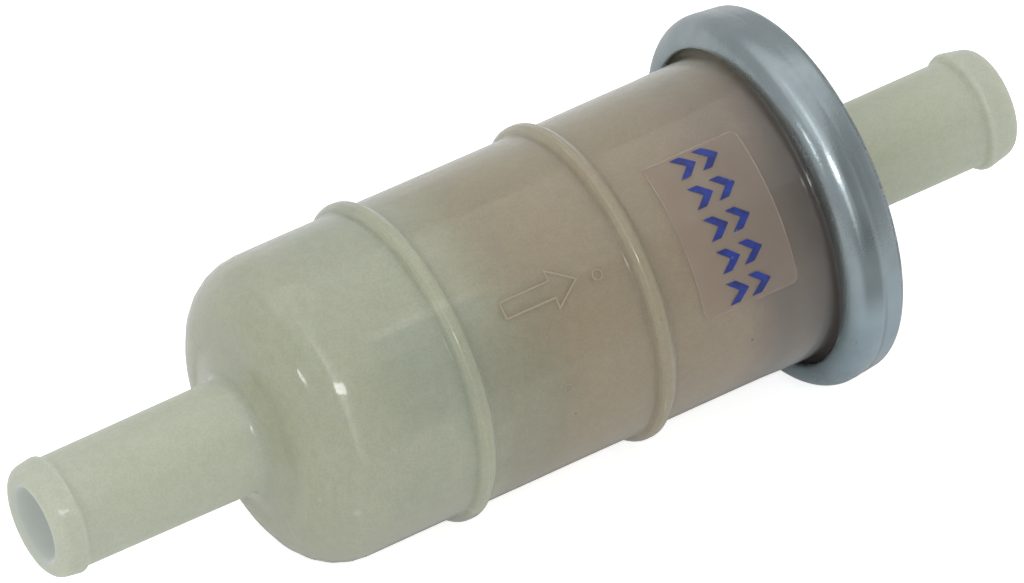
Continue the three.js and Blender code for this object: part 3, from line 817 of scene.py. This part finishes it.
def makeFilm():
    material, tree, shader, place = startMaterial("labelFilm", Roughness=0.2, IOR=1.45)
    axes = addNode(tree, "SeparateXYZ", Vector=place)
    along = maths(tree, "DIVIDE", axes.outputs["X"], mm)
    fromAngle = maths(tree, "SUBTRACT", turnOf(tree, axes), np.radians(label["angle"]))
    arc = times(tree, fromAngle, canister["radius"])
    halfLong, halfWide = (labelEnd - labelStart) / 2, canister["radius"] * np.radians(label["halfAngle"])
    endDistance = maths(tree, "SUBTRACT", halfLong, distanceFrom(tree, along, (labelStart + labelEnd) / 2))
    sideDistance = maths(tree, "SUBTRACT", halfWide, maths(tree, "ABSOLUTE", arc))
    # painted highlight: a paler rim along the film's edge, stronger on one side of the label than the other
    rim = smoothStep(tree, maths(tree, "MINIMUM", endDistance, sideDistance), 0.02, label["edge"], 1.0, 0.0)
    rim = times(tree, rim, smoothStep(tree, arc, -halfWide, halfWide, *label["rimShares"]))
    clouds = placeGroup(tree, softClouds, Vector=place, Scale=420.0)
    colour = layered(tree, label, label["film"], (clouds, "filmCloud"), (rim, "rim"))
    patchy = times(tree, rim, maths(tree, "MULTIPLY_ADD", clouds, *label["rimAlpha"]))
    feed(tree, shader, Base_Color=colour, Alpha=maths(tree, "ADD", patchy, label["alpha"]))
    grain = placeGroup(tree, fineGrain, Vector=place, Scale=900.0, Coarse_Share=1.0)
    addBump(tree, shader, grain, 0.12, 0.02)
    return material


def makeInk():
    material, tree, shader, place = startMaterial("blueInk", IOR=1.48)
    clouds = placeGroup(tree, softClouds, Vector=place, Scale=900.0)
    specks = placeGroup(tree, dustSpecks, Vector=place, Scale=1500.0, Size=0.16, Thinning=0.8)
    speckShare = times(tree, specks, 0.5)
    colour = layered(tree, label, label["blue"], (clouds, "blueDark"), (speckShare, "blueSpeck"))
    feed(tree, shader, Base_Color=colour, Roughness=maths(tree, "MULTIPLY_ADD", clouds, 0.15, 0.35))
    grain = placeGroup(tree, fineGrain, Vector=place, Scale=2500.0, Coarse_Share=0.6)
    addBump(tree, shader, grain, 0.3, 0.01)
    return material


filmPlate = plate(labelGrid(label["lift"] + label["thickness"]), labelGrid(label["lift"]))
makePiece("label_clear", *filmPlate, makeFilm(), "label_film", ["label_film"])


def chevron(x, angleFromTop):
    # A bent band: x = start + arm * w + point * (1 - |v|), v from -1 to 1 across it, w from 0 to 1 along.
    v = np.linspace(-1, 1, 17)[:, None]
    w = np.linspace(0, 1, 5)[None, :]
    point = label["markLength"] / 2 - label["arm"] - label["markGap"]
    flatX = x + label["arm"] * w + point * (1 - np.abs(v))
    base = canister["radius"] + label["lift"] + label["thickness"]
    angle = np.radians(angleFromTop) + label["markHalf"] * v / base
    wall = wallRadius(flatX, angle) + label["lift"]
    low, high = wall + label["thickness"] * 0.6, wall + label["thickness"] + label["ink"]
    return plate(aroundAxis(flatX, high, angle), aroundAxis(flatX, low, angle))


rowAngles = np.linspace(*label["markAngles"], label["marks"])
rowStarts = labelStart + label["markStart"] + np.array([0, label["markLength"] / 2])
parts = [chevron(x, angle) for angle in rowAngles for x in rowStarts]
makePiece("label_marks", *joined(parts), makeInk(), "label_film")
print("label made")

# seals and element, which the canister hides

element = dict(
    capRadius=11.2, cap=1.0, rimDepth=1.1, rimWall=0.25, neckRadius=4.2, neckBore=3.2, neckLength=4.0,
    finThickness=1.0, finReach=12.15, finDepth=2.2, pleats=28, paperOuter=10.6, paperInner=5.6, paper=0.4,
    glueInner=4.3, glueOuter=10.8, glueCreep=0.03, flangeSeal=1.44, neckSeal=1.2, neckSealLift=0.7,
)


def makePlain(name, first, second, roughness, scale, grainScale, bump, metallic=0.0):
    # A moulded or cast finish: two tones in soft clouds, specks, and grain in the bump.
    material, tree, shader, place = startMaterial(name, Metallic=metallic)
    clouds = placeGroup(tree, softClouds, Vector=place, Scale=scale)
    specks = placeGroup(tree, dustSpecks, Vector=place, Scale=scale * 4, Size=0.09, Thinning=0.7)
    colour = mixColours(tree, clouds, first, second)
    darkened = mixColours(tree, times(tree, specks, 0.35), colour, linear(120, 114, 104))
    feed(tree, shader, Base_Color=darkened, Roughness=maths(tree, "MULTIPLY_ADD", clouds, 0.15, roughness))
    grain = placeGroup(tree, fineGrain, Vector=place, Scale=grainScale, Coarse_Share=0.7)
    addBump(tree, shader, grain, bump, 0.03)
    return material


sealRubber = makePlain("sealRubber", linear(38, 38, 40), linear(52, 51, 50), 0.5, 300.0, 2600.0, 0.4)
capPlastic = makePlain("capPlastic", linear(214, 212, 200), linear(202, 198, 184), 0.42, 180.0, 1800.0, 0.3)
adhesive = makePlain("adhesive", linear(204, 184, 140), linear(186, 160, 112), 0.3, 260.0, 1200.0, 0.5)
filterPaper = makePlain("filterPaper", linear(190, 150, 130), linear(170, 128, 108), 0.85, 420.0, 3400.0, 0.9)


def sealRing(name, node, section, radius, steps):
    low, high = nodeBox(node)
    middle = (low[0] + high[0]) / 2
    turn = np.linspace(0, 2 * np.pi, 24, endpoint=False)
    profile = np.stack([middle + section / 2 * np.cos(turn), radius + section / 2 * np.sin(turn)], axis=-1)
    makePiece(name, *turnedMesh(profile, steps), sealRubber, "seal_rubber", [node])


sealRing("seal_flange", "flange_seal", element["flangeSeal"], canister["sealRadius"], 144)
sealRing("seal_neck", "neck_seal", element["neckSeal"], element["neckRadius"] + element["neckSealLift"], 96)


def pleatedPaper():
    # The sheet's middle line swings between the two fold radii: r = middle + swing * shaped cosine of the
    # pleat angle. The cosine is sharpened so that the flanks are straight and the folds round.
    c, sharpness = element, 0.97
    steps = c["pleats"] * 24
    angle = np.linspace(0, 2 * np.pi, steps, endpoint=False)
    wave = np.cos(c["pleats"] * angle)
    shaped = np.arcsin(sharpness * wave) / np.arcsin(sharpness)
    r = (c["paperOuter"] + c["paperInner"]) / 2 + (c["paperOuter"] - c["paperInner"]) / 2 * shaped
    line = np.stack([-r * np.sin(angle), r * np.cos(angle)], axis=-1)
    ahead = np.roll(line, -1, axis=0) - np.roll(line, 1, axis=0)
    ahead /= np.linalg.norm(ahead, axis=1, keepdims=True)
    side = np.stack([ahead[:, 1], -ahead[:, 0]], axis=-1) * c["paper"] / 2 * 0.9
    walls = [line + side, line - side]
    lengths = np.linspace(paperLow[0], paperHigh[0], 12)

    def stack(wall, places):
        x = np.broadcast_to(places[:, None, None], (len(places), steps, 1))
        return np.concatenate([x, np.broadcast_to(wall, (len(places), steps, 2))], axis=-1)

    loop = np.concatenate([stack(walls[0], lengths), stack(walls[1], lengths[::-1])])
    return loop, gridFaces(len(loop), steps, True, True)


makePiece("paper_pleated", *pleatedPaper(), filterPaper, "filter_paper", ["filter_paper"], sharp=60)


def capClosed():
    c = element
    face = closedCapHigh[0] - c["cap"] - c["rimDepth"]
    rimInside = c["capRadius"] - c["rimWall"]
    profile = roundedLoop([
        (face, 0, 0), (face, c["capRadius"], 0.4), (closedCapHigh[0], c["capRadius"], 0.08),
        (closedCapHigh[0], rimInside, 0.08), (face + c["cap"], rimInside, 0.15), (face + c["cap"], 0, 0),
    ])
    start = int(np.argmin(profile.sum(1)))
    profile = np.roll(profile, -start, axis=0)
    parts = [(turned(profile, 96), gridFaces(len(profile), 96, False, True))]
    for fin in range(4):
        middle = np.radians(45 + 90 * fin)
        outward = np.array([0, -np.sin(middle), np.cos(middle)])
        across = np.array([0, np.cos(middle), np.sin(middle)]) * c["finThickness"] / 2
        corners = roundedLoop([
            (closedCapLow[0], c["capRadius"] - c["finDepth"], 0.2), (closedCapLow[0], c["finReach"], 0.3),
            (face + 0.6, c["finReach"], 0.1), (face + 0.6, c["capRadius"] - c["finDepth"], 0.1),
        ], arcSteps=5)
        rim = corners[:, :1] * np.array([1, 0, 0]) + corners[:, 1:] * outward
        middles = np.broadcast_to(rim.mean(0), rim.shape)
        rows = np.stack([middles - across, rim - across, rim + across, middles + across])
        parts.append((rows, gridFaces(len(rows), len(rim), False, True)))
    return joined(parts)


closePoles(makePiece("cap_closed", *capClosed(), capPlastic, "inner_plastic", ["closed_end_cap"]))


def capOpen():
    c = element
    face = openCapHigh[0] - c["neckLength"]
    profile = roundedLoop([
        (openCapLow[0], c["capRadius"] - c["rimWall"], 0.08), (openCapLow[0], c["capRadius"], 0.08),
        (face, c["capRadius"], 0.4), (face, c["neckRadius"], 0.3), (openCapHigh[0], c["neckRadius"], 0.25),
        (openCapHigh[0], c["neckBore"], 0.2), (face - c["cap"], c["neckBore"], 0.2),
        (face - c["cap"], c["capRadius"] - c["rimWall"], 0.15),
    ])
    return turnedMesh(profile, 96)


makePiece("cap_open", *capOpen(), capPlastic, "inner_plastic", ["open_end_cap"])


def gluedWobble(x, r, angle):  # the bead's inner edge has crept unevenly
    return element["glueCreep"] * np.sin(9 * angle + r) * (r < 8)


def glueRing(name, node):
    low, high = nodeBox(node)
    profile = roundedLoop([
        (low[0], element["glueInner"], 0.12), (low[0], element["glueOuter"], 0.12),
        (high[0], element["glueOuter"], 0.18), (high[0], element["glueInner"], 0.18),
    ])
    profile = finerLoop(profile, 0.8)
    makePiece(name, *turnedMesh(profile, 120, gluedWobble), adhesive, "adhesive", [node])


glueRing("glue_closed", "closed_end_glue")
glueRing("glue_open", "open_end_glue")
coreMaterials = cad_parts["support_core"].data.materials
coreMaterials.clear()
coreMaterials.append(capPlastic)
print("element made")

# floor, light and camera

studio = dict(
    floorHalf=3.0, floorTone=0.84, floorCloud=0.985, floorGlow=0.75, world=0.57,
    lights=[  # name, direction, distance and size in metres, power
        ("keyLight", (-0.182, -0.638, 0.748), 0.6, (0.165, 0.085), 0.4),
        ("leftLight", (-0.863, -0.116, 0.494), 0.6, (0.1, 0.055), 0.12),
        ("overheadLight", (0.05, 0.15, 1), 0.9, (1.4, 1.4), 2.4),
    ],
    # bands across the X axis: middle, half width, softness and change of strength
    bands=[(-0.19, 0.02, 0.09, 2.2), (-0.39, 0.02, 0.07, -0.35), (0.5, 0.12, 0.2, -0.44)],
    bandsFacing=(0, -0.64, 0.77), bandsSpread=(0.35, 0.95),
    azimuth=-32.2, elevation=44.8, focalWidths=10000 / 1024, sensor=36.0, cameraDistance=0.8547,
    aimRight=-0.81, aimUp=1.40,
)


def makeFloor():
    half, tone, glow = studio["floorHalf"], studio["floorTone"], studio["floorGlow"]
    mesh = bpy.data.meshes.new("floor")
    corners = [(x * half, y * half, cadLow.z) for x, y in ((-1, -1), (1, -1), (1, 1), (-1, 1))]
    mesh.from_pydata(corners, [], [(0, 1, 2, 3)])
    material, tree, shader, place = startMaterial("paleFloor", Roughness=0.9, Emission_Strength=1.0)
    clouds = placeGroup(tree, softClouds, Vector=place, Scale=9.0)
    cloud = tone * studio["floorCloud"]
    colour = mixColours(tree, clouds, (tone, tone, tone, 1), (cloud, cloud, cloud, 1))
    seen = tree.nodes.new("ShaderNodeLightPath").outputs["Is Camera Ray"]  # keeps the glow off the object
    glowing = mixColours(tree, seen, (0, 0, 0, 1), (glow, glow, glow, 1))
    feed(tree, shader, Base_Color=colour, Emission_Color=glowing)
    mesh.materials.append(material)
    addObject("floor", mesh)


def addLight(name, direction, distance, size, power):
    data = bpy.data.lights.new(name, "AREA")
    data.shape, data.energy = "RECTANGLE", power
    data.size, data.size_y = size
    light = addObject(name, data)
    aim = Vector(direction).normalized()
    light.location = aim * distance
    light.rotation_mode = "QUATERNION"
    light.rotation_quaternion = (-aim).to_track_quat("-Z", "Y")


def makeWorld():
    # A white room with a bright band, a thin dark line in front of it and a darker side behind it, all high
    # up on the -Y side. They lie across the X axis, so that polished metal shows them as arcs.
    world = bpy.data.worlds.new("studioWorld")
    world.use_nodes = True
    tree = world.node_tree
    direction = tree.nodes.new("ShaderNodeTexCoord").outputs["Generated"]
    across = addNode(tree, "SeparateXYZ", Vector=direction).outputs["X"]
    facing = vectorMaths(tree, "DOT_PRODUCT", "Value", i0=direction, i1=studio["bandsFacing"])
    near = smoothStep(tree, facing, *studio["bandsSpread"])
    change = 1.0
    for middle, half, soft, strength in studio["bands"]:
        inBand = between(tree, across, middle - half, middle + half, soft)
        change = maths(tree, "MULTIPLY_ADD", times(tree, inBand, near), strength, change)
    feed(tree, tree.nodes["Background"], Color=(1, 1, 1, 1), Strength=times(tree, change, studio["world"]))
    bpy.context.scene.world = world


makeFloor()
for light in studio["lights"]:
    addLight(*light)
makeWorld()
bpy.context.scene.view_settings.view_transform = "Standard"

azimuth, elevation = np.radians(studio["azimuth"]), np.radians(studio["elevation"])
back = Vector((np.sin(azimuth) * np.cos(elevation), -np.cos(azimuth) * np.cos(elevation), np.sin(elevation)))
right = Vector((np.cos(azimuth), np.sin(azimuth), 0))
upward = back.cross(right)
target = (right * studio["aimRight"] + upward * studio["aimUp"]) * mm
cameraData = bpy.data.cameras.new("camera")
cameraData.sensor_width = studio["sensor"]
cameraData.lens = studio["focalWidths"] * studio["sensor"]
cameraData.clip_start, cameraData.clip_end = 0.05, 20.0
camera = addObject("camera", cameraData)
camera.location = target + back * studio["cameraDistance"]
camera.rotation_mode = "QUATERNION"
camera.rotation_quaternion = (-back).to_track_quat("-Z", "Y")
bpy.context.scene.camera = camera
print("studio set up")
